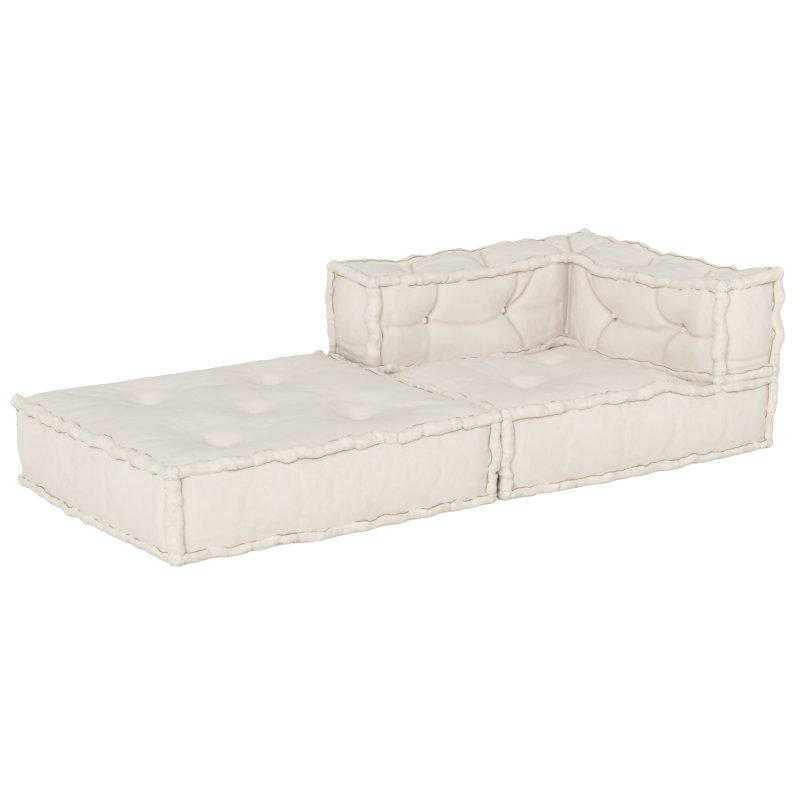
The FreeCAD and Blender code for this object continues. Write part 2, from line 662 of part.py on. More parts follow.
# Loose L-shaped corner back: a back along the rear and an arm along the right, joined at the corner
def corner_back(seat_centre):
    left = seat_centre - seat_length / 2 + back_inset
    right = seat_centre + seat_length / 2
    front, rear = -(seat_depth / 2), seat_depth / 2
    foot = seat_height - back_sink + rest_gap
    head = foot + back_height
    inner_x, inner_y = right - back_thickness, rear - back_thickness
    width = back_thickness - roll_diameter * 2
    back_run = right - left - roll_diameter * 2
    arm_run = inner_y - front
    face_height = back_height - roll_diameter * 2
    core_top = head - back_top_pad
    core_height = back_height - back_top_pad - base_pad
    top_border = back_top_pad - roll_radius

    # The back's inner face ends at the arm's core, and the arm's at the back's inner face
    back_face = inner_x - left
    arm_face = arm_run - roll_diameter
    back_centre = left + roll_diameter + back_face / 2
    arm_centre = front + roll_diameter + arm_face / 2
    middle_y, middle_x = rear - back_thickness / 2, right - back_thickness / 2
    half_pitch = face_tuft_pitch / 2

    # Twines: upright ones from the top to the base, level ones from the inner to the outer face
    upright_tufts = {
        "back": [(back_centre + step + twine_stagger, middle_y) for step in (-half_pitch, half_pitch)]
        + [(middle_x, middle_y)],
        "arm": [(middle_x, arm_centre + step + twine_stagger) for step in (-half_pitch, half_pitch)],
    }
    level_tufts = {
        "back": [back_centre + step for step in (-half_pitch, half_pitch)],
        "arm": [arm_centre + step for step in (-half_pitch, half_pitch)],
    }
    middle_z = foot + back_height / 2
    top_seat = core_top + top_border - face_tuft_depth
    face_seat = side_border - face_tuft_depth
    holes, recesses = {"back": [], "arm": []}, {"back": [], "arm": []}
    knots, twines = [], []
    for part, places in upright_tufts.items():
        for index, (x, y) in enumerate(places):
            name = "corner_back_%s_upright_%d" % (part, index)
            holes[part].append(place(cylinder(name + "_hole", hole_radius, back_height), x, y, foot))
            recesses[part] += base_recess(name, x, y, foot)
            knots.append(knot(name + "_knot", x, y, top_seat, level))
            knots.append(knot(name + "_base_knot", x, y, foot + recess_depth, downward))
            twine = cylinder(name + "_twine", twine_diameter / 2, top_seat - foot - recess_depth)
            twines.append(place(twine, x, y, foot + recess_depth))
    reach = width + face_seat * 2
    inner_seat_y, inner_seat_x = inner_y + roll_diameter - face_seat, inner_x + roll_diameter - face_seat
    for index, x in enumerate(level_tufts["back"]):
        name = "corner_back_back_level_%d" % index
        hole = cylinder(name + "_hole", hole_radius, back_thickness)
        holes["back"].append(place(hole, x, inner_y, middle_z, to_rear))
        knots.append(knot(name + "_knot", x, inner_seat_y, middle_z, to_front))
        knots.append(knot(name + "_rear_knot", x, inner_seat_y + reach, middle_z, to_rear))
        twine = cylinder(name + "_twine", twine_diameter / 2, reach)
        twines.append(place(twine, x, inner_seat_y, middle_z, to_rear))
    to_west = FreeCAD.Rotation(FreeCAD.Vector(0, 1, 0), -90)
    for index, y in enumerate(level_tufts["arm"]):
        name = "corner_back_arm_level_%d" % index
        hole = cylinder(name + "_hole", hole_radius, back_thickness)
        holes["arm"].append(place(hole, inner_x, y, middle_z, to_east))
        knots.append(knot(name + "_knot", inner_seat_x, y, middle_z, to_west))
        knots.append(knot(name + "_outer_knot", inner_seat_x + reach, y, middle_z, to_east))
        twine = cylinder(name + "_twine", twine_diameter / 2, reach)
        twines.append(place(twine, inner_seat_x, y, middle_z, to_east))
    gather("corner_back_tuft_knots", knots)
    gather("corner_back_tuft_twines", twines)

    # Cores and base panels meet where the arm butts against the back
    back_corner = (left + roll_diameter, inner_y + roll_diameter)
    arm_corner = (inner_x + roll_diameter, front + roll_diameter)
    for part, corner, length, depth in (
        ("back", back_corner, back_run, width),
        ("arm", arm_corner, width, arm_run),
    ):
        block("corner_back_%s_core" % part, corner + (foot + base_pad,), (length, depth, core_height), holes[part])
        block("corner_back_%s_base_panel" % part, corner + (foot,), (length, depth, base_pad), recesses[part])

    # Top panels, with a tuft over the corner too
    back_top_centre = left + roll_diameter + back_run / 2
    arm_top_centre = front + roll_diameter + arm_run / 2
    label = "corner_back_back_top_panel"
    places = [x - back_top_centre for x, y in upright_tufts["back"]]
    panel = creased_panel(label, back_run, width, top_border, back_crown, places, places, corner_span=3)
    keep(place(panel, back_top_centre, middle_y, core_top), label)
    label = "corner_back_arm_top_panel"
    places = [y - arm_top_centre for x, y in upright_tufts["arm"]]
    panel = creased_panel(label, arm_run, width, top_border, back_crown, places, places)
    keep(place(panel, middle_x, arm_top_centre, core_top, along_y), label)

    # Tufted faces: length, centre of the back of the panel, turn, tufts, all creases and the corner's span
    side_run = arm_run + width
    side_centre = front + roll_diameter + side_run / 2
    inner_places = [-half_pitch, half_pitch]
    rear_places = [back_top_centre - x for x in reversed(level_tufts["back"])]
    side_places = [y - side_centre for y in level_tufts["arm"]]
    faces = [
        ("back_inner_face", back_face, back_centre, inner_y + roll_diameter, to_front, inner_places, inner_places, None),
        ("arm_inner_face", arm_face, inner_x + roll_diameter, arm_centre, to_left, inner_places, inner_places, None),
        ("back_outer_face", back_run, back_top_centre, rear - roll_diameter, to_back, rear_places,
         [back_top_centre - middle_x] + rear_places, 0),
        ("arm_outer_face", side_run, right - roll_diameter, side_centre, to_right, side_places,
         side_places + [middle_y - side_centre], 3),
    ]
    for name, length, x, y, turn, tufted, creases, span in faces:
        label = "corner_back_" + name
        panel = creased_panel(label, length, face_height, side_border, side_bulge, creases, tufted, span)
        keep(place(panel, x, y, middle_z, turn), label)

    # Plain ends
    for name, x, y, turn in (
        ("left_end", left + roll_diameter, middle_y, to_left),
        ("arm_end", middle_x, front + roll_diameter, to_front),
    ):
        label = "corner_back_%s_panel" % name
        panel = crowned_panel(label, width, face_height, side_border, side_bulge)
        keep(place(panel, x, y, middle_z, turn), label)

    # Rolls: those along X run full length, the others fit between them; the inner corner has none
    near, far = front + roll_radius, rear - roll_radius
    for level_name, z in (("base", foot + roll_radius), ("top", head - roll_radius)):
        label = "corner_back_%s_rolls" % level_name
        runs = [
            ("rear", right - left, left, far, along_x),
            ("inner", back_face + roll_diameter, left, inner_y + roll_radius, along_x),
            ("arm_end", back_thickness, inner_x, near, along_x),
            ("left_end", width, left + roll_radius, inner_y + roll_diameter, along_y),
            ("arm_inner", arm_face, inner_x + roll_radius, front + roll_diameter, along_y),
            ("right", side_run, right - roll_radius, front + roll_diameter, along_y),
        ]
        gather(label, [place(roll("%s_%s" % (label, name), length), x, y, z, turn)
                       for name, length, x, y, turn in runs])
    label = "corner_back_corner_rolls"
    posts = [
        ("left_inner", left + roll_radius, inner_y + roll_radius),
        ("left_rear", left + roll_radius, far),
        ("right_rear", right - roll_radius, far),
        ("arm_right", right - roll_radius, near),
        ("arm_left", inner_x + roll_radius, near),
    ]
    gather(label, [place(roll("%s_%s" % (label, name), face_height), x, y, foot + roll_diameter, along_z)
                   for name, x, y in posts])


half_pitch = (seat_length + module_gap) / 2
seat("ottoman", -half_pitch, False)
seat("corner_seat", half_pitch, True)
corner_back(half_pitch)
doc.recompute()

# Nothing is written unless every object is sound
for item in doc.Objects:
    if "Invalid" in item.State or "Error" in item.State:
        raise RuntimeError("failed object: %s %s" % (item.Label, item.State))
for node in nodes:
    if node.Shape.isNull() or not node.Shape.isValid():
        raise RuntimeError("bad shape: %s" % node.Label)
os.makedirs("parts", exist_ok=True)
for node in nodes:
    node.Shape.exportStep("parts/%s.step" % node.Label)
    print(node.Label, len(node.Shape.Solids), round(node.Shape.Volume))
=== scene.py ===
import math
import random
import bpy
import bmesh
from mathutils import Matrix, Vector, noise


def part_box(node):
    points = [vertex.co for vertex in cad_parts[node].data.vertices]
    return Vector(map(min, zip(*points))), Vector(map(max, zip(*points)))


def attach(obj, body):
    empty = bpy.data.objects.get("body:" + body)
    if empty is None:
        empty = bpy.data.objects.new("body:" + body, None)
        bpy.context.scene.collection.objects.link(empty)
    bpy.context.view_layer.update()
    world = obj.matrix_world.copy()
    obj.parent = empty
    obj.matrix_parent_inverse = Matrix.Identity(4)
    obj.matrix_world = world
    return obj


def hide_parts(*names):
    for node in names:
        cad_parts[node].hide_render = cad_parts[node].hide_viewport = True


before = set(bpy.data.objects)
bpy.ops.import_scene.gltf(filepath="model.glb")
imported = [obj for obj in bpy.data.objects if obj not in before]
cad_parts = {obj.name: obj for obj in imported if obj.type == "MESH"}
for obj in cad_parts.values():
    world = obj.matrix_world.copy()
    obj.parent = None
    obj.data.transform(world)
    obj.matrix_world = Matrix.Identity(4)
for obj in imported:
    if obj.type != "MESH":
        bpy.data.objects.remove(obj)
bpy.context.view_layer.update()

mm = 0.001
scene = bpy.context.scene
random.seed(7)
noise.seed_set(7)        # without it the vector noise starts from the clock


def linear(hexColour):        # sRGB hex to the linear colour that shaders take
    parts = [int(hexColour[i:i + 2], 16) / 255 for i in (1, 3, 5)]
    return [c / 12.92 if c <= 0.04045 else ((c + 0.055) / 1.055) ** 2.4 for c in parts] + [1.0]


def addNode(tree, kind, settings=None, **links):
    node = tree.nodes.new(kind)
    for name, value in (settings or {}).items():
        if hasattr(node, name):
            setattr(node, name, value)
        else:
            node.inputs[name].default_value = value
    for name, source in links.items():
        socket = node.inputs[int(name[2:])] if name.startswith("at") else node.inputs[name.replace("_", " ")]
        tree.links.new(source, socket)
    return node


def smooth(t):
    t = max(0.0, min(1.0, t))
    return t * t * (3 - 2 * t)


def between(points, s):        # eased value at s in a list of (place, value)
    for (a, low), (b, high) in zip(points, points[1:]):
        if s <= b:
            return low + (high - low) * smooth((s - a) / (b - a))
    return points[-1][1]


def newPiece(name, bm, material, body, rounds=0):
    mesh = bpy.data.meshes.new(name)
    bm.to_mesh(mesh)
    bm.free()
    piece = bpy.data.objects.new(name, mesh)
    scene.collection.objects.link(piece)
    mesh.materials.append(material)
    mesh.shade_smooth()
    if rounds:
        finer = piece.modifiers.new("finer", "SUBSURF")
        finer.levels = rounds
        finer.render_levels = rounds
    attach(piece, body)
    return piece


# Cotton canvas, plain woven and bleached unevenly: matt, with threads, slubs and soft creases
# that catch the light. The real threads are about 0.8 mm apart, too fine to show, so they are
# drawn at three times that.
# fold: the tan of the painted shade laid into narrow deep creases, and the share of it that they take
canvasLook = dict(colour="#F1EBE3", shade="#E8E0D5", fold="#B3A180", foldShadeShare=0.55, cloudMm=170,
                  threadMm=2.4, threadHighMm=0.12, slubMm=9, slubHighMm=0.4, creaseMm=48, creaseHighMm=2.6,
                  creaseTwist=0.8, roughness=0.92, specular=0.2, sheen=0.12)
edgeLook = dict(canvasLook, colour="#F2EDE4", shade="#E7DED1", creaseMm=14, creaseHighMm=2.2, cloudMm=60)
waveRate = 20        # radians that a wave texture turns in a metre at scale 1


def canvasMaterial(name, look):
    material = bpy.data.materials.new(name)
    material.use_nodes = True
    tree = material.node_tree
    shader = tree.nodes["Principled BSDF"]
    where = addNode(tree, "ShaderNodeTexCoord").outputs["Object"]

    def relief(sizeMm, highMm, detail, twist, below):        # bumps of one size, laid over those below
        bumps = addNode(tree, "ShaderNodeTexNoise",
                        {"Scale": 1 / (sizeMm * mm), "Detail": detail, "Distortion": twist}, Vector=where)
        return addNode(tree, "ShaderNodeBump", {"Strength": 1.0, "Distance": highMm * mm},
                       Height=bumps.outputs["Fac"], Normal=below.outputs["Normal"])

    cloud = addNode(tree, "ShaderNodeTexNoise", {"Scale": 1 / (look["cloudMm"] * mm), "Detail": 4},
                    Vector=where)
    mix = addNode(tree, "ShaderNodeMix", {"data_type": "RGBA"}, at0=cloud.outputs["Fac"])
    mix.inputs[6].default_value = linear(look["colour"])
    mix.inputs[7].default_value = linear(look["shade"])
    fold = addNode(tree, "ShaderNodeAttribute", {"attribute_name": "fold"})        # painted shade: narrow deep folds are coloured darker and warmer
    depth = addNode(tree, "ShaderNodeMath", {"operation": "MULTIPLY", "use_clamp": True},
                    at0=fold.outputs["Fac"])
    depth.inputs[1].default_value = look["foldShadeShare"]
    deep = addNode(tree, "ShaderNodeMix", {"data_type": "RGBA"}, at0=depth.outputs[0], at6=mix.outputs[2])
    deep.inputs[7].default_value = linear(look["fold"])
    tree.links.new(deep.outputs[2], shader.inputs["Base Color"])
    threads = None
    for way in "XYZ":        # a face shows the two thread directions that lie in it
        turns = math.tau / (waveRate * look["threadMm"] * mm)
        wave = addNode(tree, "ShaderNodeTexWave",
                       {"bands_direction": way, "Scale": turns, "Distortion": 0.6, "Detail": 1}, Vector=where)
        bands = wave.outputs["Fac"]
        if threads:
            bands = addNode(tree, "ShaderNodeMath", {"operation": "ADD"}, at0=threads, at1=bands).outputs[0]
        threads = bands
    weave = addNode(tree, "ShaderNodeBump", {"Strength": 1.0, "Distance": look["threadHighMm"] * mm},
                    Height=threads)
    slubs = relief(look["slubMm"], look["slubHighMm"], 3, 0.0, weave)
    creases = relief(look["creaseMm"], look["creaseHighMm"], 2, look["creaseTwist"], slubs)
    tree.links.new(creases.outputs["Normal"], shader.inputs["Normal"])
    shader.inputs["Roughness"].default_value = look["roughness"]
    shader.inputs["Specular IOR Level"].default_value = look["specular"]
    shader.inputs["Sheen Weight"].default_value = look["sheen"]
    return material


canvas = canvasMaterial("CottonCanvas", canvasLook)
edgeCanvas = canvasMaterial("CottonCanvasRolled", edgeLook)

# Waxed cotton thread and painted seam shadow: a thin tan line down in the seam, darker than the canvas and
# darker still in random patches
threadAndShadeLook = dict(colour="#C3AE8C", dark="#8E7853", runMm=22, roughness=0.8, specular=0.2)


def threadAndShadeMaterial(name, look):
    material = bpy.data.materials.new(name)
    material.use_nodes = True
    tree = material.node_tree
    shader = tree.nodes["Principled BSDF"]
    where = addNode(tree, "ShaderNodeTexCoord").outputs["Object"]
    patch = addNode(tree, "ShaderNodeTexNoise", {"Scale": 1 / (look["runMm"] * mm), "Detail": 2},
                    Vector=where)
    mix = addNode(tree, "ShaderNodeMix", {"data_type": "RGBA"}, at0=patch.outputs["Fac"])
    mix.inputs[6].default_value = linear(look["colour"])
    mix.inputs[7].default_value = linear(look["dark"])
    tree.links.new(mix.outputs[2], shader.inputs["Base Color"])
    shader.inputs["Roughness"].default_value = look["roughness"]
    shader.inputs["Specular IOR Level"].default_value = look["specular"]
    return material


seamThreadAndShade = threadAndShadeMaterial("SeamThreadAndPaintedShadow", threadAndShadeLook)

# Camera at the photo's angle: place, aim and lens worked out for an 800 x 800 frame
shot = dict(place=(-3.262, -4.750, 1.617), azimuth=-34.305, elevation=14.02, lensPx=2271.8, framePx=800)


def setCamera(look):
    data = bpy.data.cameras.new("camera")
    camera = bpy.data.objects.new("camera", data)
    scene.collection.objects.link(camera)
    az, el = math.radians(look["azimuth"]), math.radians(look["elevation"])
    ahead = Vector((-math.sin(az) * math.cos(el), math.cos(az) * math.cos(el), -math.sin(el)))
    camera.location = look["place"]
    camera.rotation_euler = ahead.to_track_quat("-Z", "Y").to_euler()
    data.sensor_width = 36
    data.sensor_fit = "HORIZONTAL"
    data.lens = look["lensPx"] / look["framePx"] * data.sensor_width
    data.clip_end = 100
    scene.camera = camera


setCamera(shot)

# White studio: the floor is lit like paper and looks white to the camera, with the cushions' shadow on it
studio = dict(floorSize=30, paper="#F2F1EF", glow=0.62, world=0.69)


def setStage(look):
    bm = bmesh.new()
    bmesh.ops.create_grid(bm, x_segments=1, y_segments=1, size=look["floorSize"])
    mesh = bpy.data.meshes.new("floor")
    bm.to_mesh(mesh)
    bm.free()
    floor = bpy.data.objects.new("floor", mesh)
    scene.collection.objects.link(floor)
    material = bpy.data.materials.new("PaleFloor")
    material.use_nodes = True
    tree = material.node_tree
    shader = tree.nodes["Principled BSDF"]
    shader.inputs["Base Color"].default_value = linear(look["paper"])
    shader.inputs["Roughness"].default_value = 0.9
    shader.inputs["Specular IOR Level"].default_value = 0.0
    shader.inputs["Emission Color"].default_value = (1, 1, 1, 1)
    path = addNode(tree, "ShaderNodeLightPath")
    seen = path.outputs["Is Camera Ray"]
    for ray in ("Is Glossy Ray", "Is Transmission Ray"):
        either = addNode(tree, "ShaderNodeMath", {"operation": "MAXIMUM"}, at0=seen, at1=path.outputs[ray])
        seen = either.outputs[0]
    glow = addNode(tree, "ShaderNodeMath", {"operation": "MULTIPLY"}, at0=seen)
    glow.inputs[1].default_value = look["glow"]
    tree.links.new(glow.outputs[0], shader.inputs["Emission Strength"])
    mesh.materials.append(material)
    world = bpy.data.worlds.new("studio")
    scene.world = world
    world.use_nodes = True
    tree = world.node_tree
    background = tree.nodes["Background"]
    background.inputs["Color"].default_value = (1, 1, 1, 1)
    path = addNode(tree, "ShaderNodeLightPath")
    strength = addNode(tree, "ShaderNodeMix", {"data_type": "FLOAT"}, at0=path.outputs["Is Camera Ray"])
    strength.inputs[2].default_value = look["world"]
    strength.inputs[3].default_value = 1.0
    tree.links.new(strength.outputs[0], background.inputs["Strength"])
    scene.view_settings.view_transform = "Standard"


setStage(studio)

# Soft daylight from the left front, and a weak lamp that opens the shade on the right
lamps = (dict(name="key", place=(-13.0, -10.2, 7.2), aim=(0, 0, 0.2), size=7, watts=1080, colour="#F4F8FF"),
         dict(name="side", place=(3.0, -5.6, 2.4), aim=(0.7, 0, 0.3), size=3, watts=30, colour="#FFFFFF"))


def addLamp(name, place, aim, size, watts, colour):
    data = bpy.data.lights.new(name, "AREA")
    data.shape = "DISK"
    data.size = size
    data.energy = watts
    data.color = linear(colour)[:3]
    lamp = bpy.data.objects.new(name, data)
    scene.collection.objects.link(lamp)
    lamp.location = place
    lamp.rotation_euler = (Vector(aim) - Vector(place)).to_track_quat("-Z", "Y").to_euler()


for lamp in lamps:
    addLamp(**lamp)
print("stage: camera, floor and lamps")

baseLow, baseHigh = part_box("ottoman_base_rolls")
rollRadius = (baseHigh.z - baseLow.z) / 2
knotRadius = 9 * mm
near = 1e-5        # points closer than this to a plane lie in it
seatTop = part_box("ottoman_top_rolls")[1].z
backLow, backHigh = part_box("corner_back_base_rolls")[0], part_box("corner_back_top_rolls")[1]
# outer lines of the rolls along the inner faces, on the arm and on the long side
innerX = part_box("corner_back_arm_inner_face")[1].x - rollRadius * 2
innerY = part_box("corner_back_back_inner_face")[1].y - rollRadius * 2
print("frame: roll radius", round(rollRadius, 4), "seat top", round(seatTop, 4))
print("frame: inner corner", round(innerX, 4), round(innerY, 4))


def cutGrid(bm, axis, stops, step):        # divides the edges between each pair of stops into an even grid
    for a, b in zip(stops, stops[1:]):
        cuts = round((b - a) / step) - 1
        edges = []
        for edge in bm.edges:
            low, high = sorted(v.co[axis] for v in edge.verts)
            if abs(low - a) < near and abs(high - b) < near:
                edges.append(edge)
        bmesh.ops.subdivide_edges(bm, edges=edges, cuts=cuts, use_grid_fill=True)


def inOrder(bm):        # the same mesh with its points and faces in a fixed order
    points = sorted(bm.verts, key=lambda v: tuple(v.co))
    rank = {vert: i for i, vert in enumerate(points)}
    fresh = bmesh.new()
    verts = [fresh.verts.new(vert.co) for vert in points]
    rings = []
    for face in bm.faces:
        ring = [rank[vert] for vert in face.verts]
        first = ring.index(min(ring))
        rings.append(ring[first:] + ring[:first])
    for ring in sorted(rings):
        fresh.faces.new([verts[i] for i in ring])
    bm.free()
    return fresh


# Stuffing a cover: sewn points are pinned, tuft points are drawn in, and the fill's pressure swells the rest
fill = dict(pressure=4.0, slack=0.005, frames=20, pullFrames=10, quality=5, pointMass=0.3, tension=40.0,
            bending=0.5, topFacing=0.7, topCapMm=20, sideCapMm=4)


def stuffCover(bm, name, sewn, drawn, look):
    bm.verts.ensure_lookup_table()
    bm.normal_update()
    mesh = bpy.data.meshes.new(name)
    bm.to_mesh(mesh)
    cover = bpy.data.objects.new(name, mesh)
    scene.collection.objects.link(cover)
    group = cover.vertex_groups.new(name="sewn")
    group.add(sorted(set(sewn) | set(drawn)), 1.0, "REPLACE")
    cover.shape_key_add(name="loose")
    pulled = cover.shape_key_add(name="pulled")
    for index, place in drawn.items():
        pulled.data[index].co = place
    cloth = cover.modifiers.new("stuffing", "CLOTH")
    settings = cloth.settings
    settings.vertex_group_mass = "sewn"
    settings.quality = look["quality"]
    settings.mass = look["pointMass"]
    settings.tension_stiffness = look["tension"]
    settings.compression_stiffness = look["tension"]
    settings.shear_stiffness = look["tension"] / 2
    settings.bending_stiffness = look["bending"]
    settings.use_pressure = True
    settings.uniform_pressure_force = look["pressure"]
    settings.shrink_min = -look["slack"]
    settings.effector_weights.gravity = 0
    cloth.collision_settings.use_collision = False
    cloth.point_cache.frame_start = 1
    cloth.point_cache.frame_end = look["frames"]
    for step, share in ((1, 0.0), (look["pullFrames"], 1.0)):
        pulled.value = share
        pulled.keyframe_insert("value", frame=step)
    for step in range(1, look["frames"] + 1):
        scene.frame_set(step)
    settled = cover.evaluated_get(bpy.context.evaluated_depsgraph_get()).data
    furthest = 0.0
    for vert, after in zip(bm.verts, settled.vertices):
        move = after.co - vert.co
        furthest = max(furthest, move.length)
        cap = (look["topCapMm"] if vert.normal.z > look["topFacing"] else look["sideCapMm"]) * mm
        if move.length > cap and vert.index not in drawn:
            move *= cap / move.length
        vert.co += move
    bpy.data.objects.remove(cover)
    for action in list(bpy.data.actions):
        bpy.data.actions.remove(action)
    scene.frame_set(1)
    print("stuffed", name, len(bm.verts), "points,", len(drawn), "drawn in,", round(furthest / mm, 1), "mm")


# Creases: a sharp line with a wide soft hollow round it, with painted shade where it is narrow and deep
creaseLook = dict(steps=6, line=0.6, hollow=0.55, hollowRun=6, sharpMm=4.5, shadeDeepMm=14, shadeRun=0.8)


def smoothLine(points, steps):        # curve through given points
    knots = [Vector(p) for p in points]
    knots = [knots[0]] + knots + [knots[-1]]
    samples = []
    for a, b, c, d in zip(knots, knots[1:], knots[2:], knots[3:]):
        for i in range(steps):
            t = i / steps
            samples.append(0.5 * ((2 * b) + (c - a) * t + (2 * a - 5 * b + 4 * c - d) * t * t
                                  + (3 * b - a - 3 * c + d) * t * t * t))
    samples.append(knots[-1])
    return samples


def carve(bm, lines, pick, flat, inward, deepen):        # presses creases into one face of a cushion
    look = creaseLook
    # painted shade: each point records how much of the darker, warmer crease colour it gets
    foldShade = bm.verts.layers.float.get("fold") or bm.verts.layers.float.new("fold")
    traced = []
    for points, deepA, deepB, width in lines:
        traced.append((smoothLine(points, look["steps"]), deepA * mm, deepB * mm, width * mm))
    for vert in bm.verts:
        if not pick(vert):
            continue
        here = Vector(flat(vert.co))
        depth = 0.0
        for samples, deepA, deepB, width in traced:
            share, best = 0.0, 1.0
            for i, (a, b) in enumerate(zip(samples, samples[1:])):
                run = b - a
                t = max(0.0, min(1.0, (here - a).dot(run) / max(run.length_squared, 1e-12)))
                away = (here - a - run * t).length
                if away < best:
                    share, best = (i + t) / (len(samples) - 1), away
            deep = deepen * (deepA + (deepB - deepA) * share)
            line = look["line"] * math.exp(-(best / width) ** 2)
            hollow = look["hollow"] * math.exp(-(best / (width * look["hollowRun"])) ** 2)
            depth = max(depth, deep * (line + hollow))
            sharp = min(1.0, look["sharpMm"] * mm / width) ** 2
            dark = math.exp(-(best / (width * look["shadeRun"])) ** 2)
            vert[foldShade] = max(vert[foldShade], sharp * deep / (look["shadeDeepMm"] * mm) * dark)
        vert.co += inward * depth


# Rolls: stuffed edges bound with thread, lumpy and wandering, with a pinch at each stitch
rollLook = dict(sides=20, stationMm=4, plump=1.09, lumpMm=(22, 80), firstLump=0.6, pinch=(0.08, 0.40),
                pinchMm=(2.0, 5.0), pinchReachMm=30, pinchEven=0.6, pinchTurned=0.4, slantMm=10,
                lump=0.22, lumpRunMm=30, swell=0.13, swellRunMm=80, gather=0.09, gatherRunMm=11,
                wanderMm=8, wanderRunMm=58, wanderEaseMm=60, endShare=0.12,
                seamSides=6, seamMm=1.3, seamSunk=0.97, seamDip=0.06, seamDipRunMm=50, seamSway=0.32,
                seamSwayRunMm=24)
postLook = dict(rollLook, plump=1.30, wanderMm=11)        # the uprights are fuller and wander more
postStart = 1.2        # roll radii from a level at which its uprights start


def addMesh(cover, bm):
    mesh = bpy.data.meshes.new("part")
    bm.to_mesh(mesh)
    bm.free()
    cover.from_mesh(mesh)
    bpy.data.meshes.remove(mesh)


def longTube(sides, stations):        # unit tube along Z, cut into even rings
    bm = bmesh.new()
    bmesh.ops.create_cone(bm, cap_ends=True, segments=sides, radius1=1, radius2=1, depth=1)
    runs = [e for e in bm.edges if abs(e.verts[0].co.z - e.verts[1].co.z) > 0.5]
    bmesh.ops.subdivide_edges(bm, edges=runs, cuts=max(4, stations))
    return bm


def sewRoll(cover, thread, start, end, up, seams, look):
    axis = end - start
    length = axis.length
    axis.normalize()
    up = (up - axis * up.dot(axis)).normalized()
    side = axis.cross(up)
    radius = rollRadius * look["plump"]
    pinches = []
    at = random.uniform(*look["lumpMm"]) * mm * look["firstLump"]
    while at < length - radius:
        pinch = dict(at=at, depth=random.uniform(*look["pinch"]))
        pinch["width"] = random.uniform(*look["pinchMm"]) * mm
        pinch["slant"] = random.uniform(-1, 1) * look["slantMm"] * mm
        pinch["turn"] = random.uniform(0, math.tau)
        pinch["deepest"] = random.uniform(0, math.tau)
        pinches.append(pinch)
        at += random.uniform(*look["lumpMm"]) * mm
    seed = random.uniform(0, 100)

    def fullness(along, angle):
        x, y = math.cos(angle), math.sin(angle)
        full = 1 + look["lump"] * noise.noise((along / (look["lumpRunMm"] * mm), x + seed, y))
        full += look["swell"] * noise.noise((along / (look["swellRunMm"] * mm), seed, 1.3))
        full += look["gather"] * noise.noise((along / (look["gatherRunMm"] * mm), x, y + seed))
        for pinch in pinches:
            if abs(along - pinch["at"]) < look["pinchReachMm"] * mm:
                off = along - pinch["at"] - pinch["slant"] * math.cos(angle - pinch["turn"])
                share = look["pinchEven"] + look["pinchTurned"] * math.cos(angle - pinch["deepest"])
                full *= 1 - pinch["depth"] * share * math.exp(-(off / pinch["width"]) ** 2)
        fromEnd = min(along, length - along)
        if fromEnd < radius:
            full *= max(look["endShare"], math.sqrt(max(0.0, 1 - (1 - fromEnd / radius) ** 2)))
        return full

    def middle(along):
        run = along / (look["wanderRunMm"] * mm)
        ease = smooth(min(along, length - along) / (look["wanderEaseMm"] * mm))
        rise = look["wanderMm"] * mm * noise.noise((run, seed, 3.1)) * ease
        sway = look["wanderMm"] * mm * noise.noise((run, seed, 7.7)) * ease
        return start + axis * along + up * rise + side * sway

    bm = longTube(look["sides"], round(length / (look["stationMm"] * mm)))
    for vert in bm.verts:
        along = (vert.co.z + 0.5) * length
        angle = math.atan2(vert.co.y, vert.co.x)
        spoke = up * math.cos(angle) + side * math.sin(angle)
        vert.co = middle(along) + spoke * radius * fullness(along, angle)
    addMesh(cover, bm)
    for seam in seams:        # the thread, which is also painted seam shadow, lies where the roll meets the panel, here and there pulled under
        bm = longTube(look["seamSides"], round(length / (look["stationMm"] * mm)))
        for vert in bm.verts:
            along = (vert.co.z + 0.5) * length
            turn = seam + look["seamSway"] * noise.noise((along / (look["seamSwayRunMm"] * mm), seed, seam))
            spoke = up * math.cos(turn) + side * math.sin(turn)
            dip = noise.noise((along / (look["seamDipRunMm"] * mm), seed, 5 + seam))
            sunk = look["seamSunk"] + look["seamDip"] * dip
            own = (up * vert.co.x + side * vert.co.y) * look["seamMm"] * mm
            vert.co = middle(along) + spoke * radius * fullness(along, turn) * sunk + own
        addMesh(thread, bm)


# Knobs: canvas gathered in folds at the corners and in the tufts
knobLook = dict(corner=1.34, fineness=4, foldMm=15, crease=0.2, narrow=5, lump=0.06)


def sewKnob(cover, place, size):        # size is in roll radii
    look = knobLook
    bm = bmesh.new()
    bmesh.ops.create_icosphere(bm, subdivisions=look["fineness"], radius=rollRadius * size)
    seed = Vector([random.uniform(0, 50) for way in "xyz"])
    for vert in bm.verts:
        fold = noise.noise(vert.co / (look["foldMm"] * mm) + seed)
        crease = look["crease"] * max(0.0, 1 - abs(fold) * look["narrow"])
        vert.co = place + vert.co * (1 - crease + look["lump"] * fold)
    addMesh(cover, bm)


def finishRolls(prefix, level, cover, thread, shape):
    for bm in (cover, thread):
        for vert in bm.verts:
            vert.co = shape(vert.co)
    edging = newPiece("%s_%s_edging" % (prefix, level), cover, edgeCanvas, prefix)
    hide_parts("%s_%s_rolls" % (prefix, level))
    # painted seam shadow: the tan thread stands in for the dark seam line as well as for the stitching
    newPiece("%s_%s_stitching_and_shade" % (prefix, level), thread, seamThreadAndShade, prefix)


seamTurns = dict(top=(2.50, -0.62), base=(0.72,))        # where the threads and their painted seam shadow lie round a roll, in radians
postSeamShare = 0.4        # the same for an upright, as a share of the way between its panels


